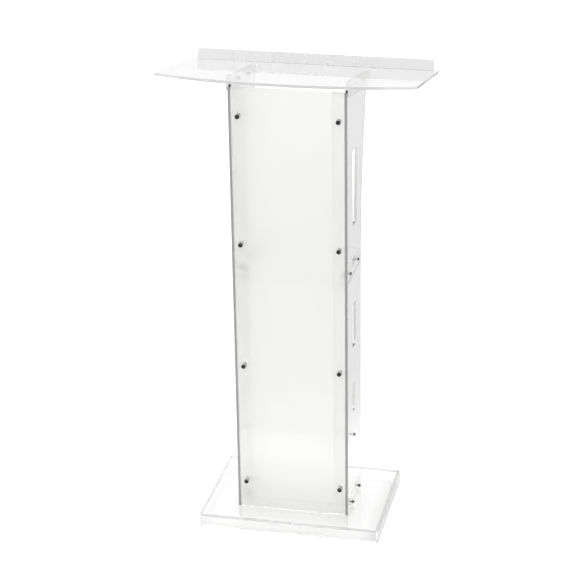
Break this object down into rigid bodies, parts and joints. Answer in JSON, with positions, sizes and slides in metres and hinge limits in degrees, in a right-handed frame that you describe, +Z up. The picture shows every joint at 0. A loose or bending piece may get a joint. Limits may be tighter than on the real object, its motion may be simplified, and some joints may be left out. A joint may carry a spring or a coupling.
{
  "type": "lectern stand",
  "caption": "Clear acrylic lectern with a sloped reading board, rear book lip, frosted front panel, slotted flared sides, an inner shelf and a hollow plinth.",
  "frame": {"origin": "on the floor under the middle of the whole object's box", "axes": "+Z up, +Y from the audience towards the speaker, +X to the right of someone looking along +Y"},
  "size_m": [0.579, 0.4013, 1.114],
  "materials": {
    "clear_acrylic": "polished clear acrylic sheet",
    "frosted_acrylic": "acrylic sheet frosted on its face",
    "lip_acrylic": "translucent acrylic strip with a satin face",
    "dark_steel": "dark plated steel"
  },
  "bodies": {
    "root": {"base_bracket_front_left": "clear_acrylic", "base_bracket_front_right": "clear_acrylic", "base_bracket_rear_left": "clear_acrylic", "base_bracket_rear_right": "clear_acrylic", "base_floor_screw_front_left": "dark_steel", "base_floor_screw_front_right": "dark_steel", "base_floor_screw_rear_left": "dark_steel", "base_floor_screw_rear_right": "dark_steel", "base_plate": "clear_acrylic", "base_side_screw_front_left": "dark_steel", "base_side_screw_front_right": "dark_steel", "base_side_screw_rear_left": "dark_steel", "base_side_screw_rear_right": "dark_steel", "base_skirt_front": "clear_acrylic", "base_skirt_left": "clear_acrylic", "base_skirt_rear": "clear_acrylic", "base_skirt_right": "clear_acrylic", "board_rail_left": "clear_acrylic", "board_rail_right": "clear_acrylic", "book_lip": "lip_acrylic", "cross_bar": "clear_acrylic", "cross_bar_screw_left": "dark_steel", "cross_bar_screw_right": "dark_steel", "front_cleat_left": "clear_acrylic", "front_cleat_right": "clear_acrylic", "front_panel": "frosted_acrylic", "front_screw_left_1": "dark_steel", "front_screw_left_2": "dark_steel", "front_screw_left_3": "dark_steel", "front_screw_left_4": "dark_steel", "front_screw_right_1": "dark_steel", "front_screw_right_2": "dark_steel", "front_screw_right_3": "dark_steel", "front_screw_right_4": "dark_steel", "notch_screw_left": "dark_steel", "notch_screw_right": "dark_steel", "rail_screw_front_left": "dark_steel", "rail_screw_front_right": "dark_steel", "rail_screw_rear_left": "dark_steel", "rail_screw_rear_right": "dark_steel", "reading_board": "clear_acrylic", "shelf": "clear_acrylic", "shelf_bracket_front_left": "clear_acrylic", "shelf_bracket_front_right": "clear_acrylic", "shelf_bracket_rear_left": "clear_acrylic", "shelf_bracket_rear_right": "clear_acrylic", "shelf_floor_screw_front_left": "dark_steel", "shelf_floor_screw_front_right": "dark_steel", "shelf_floor_screw_rear_left": "dark_steel", "shelf_floor_screw_rear_right": "dark_steel", "shelf_lip": "clear_acrylic", "shelf_side_screw_front_left": "dark_steel", "shelf_side_screw_front_right": "dark_steel", "shelf_side_screw_rear_left": "dark_steel", "shelf_side_screw_rear_right": "dark_steel", "side_panel_left": "clear_acrylic", "side_panel_right": "clear_acrylic"}
  },
  "joints": []
}
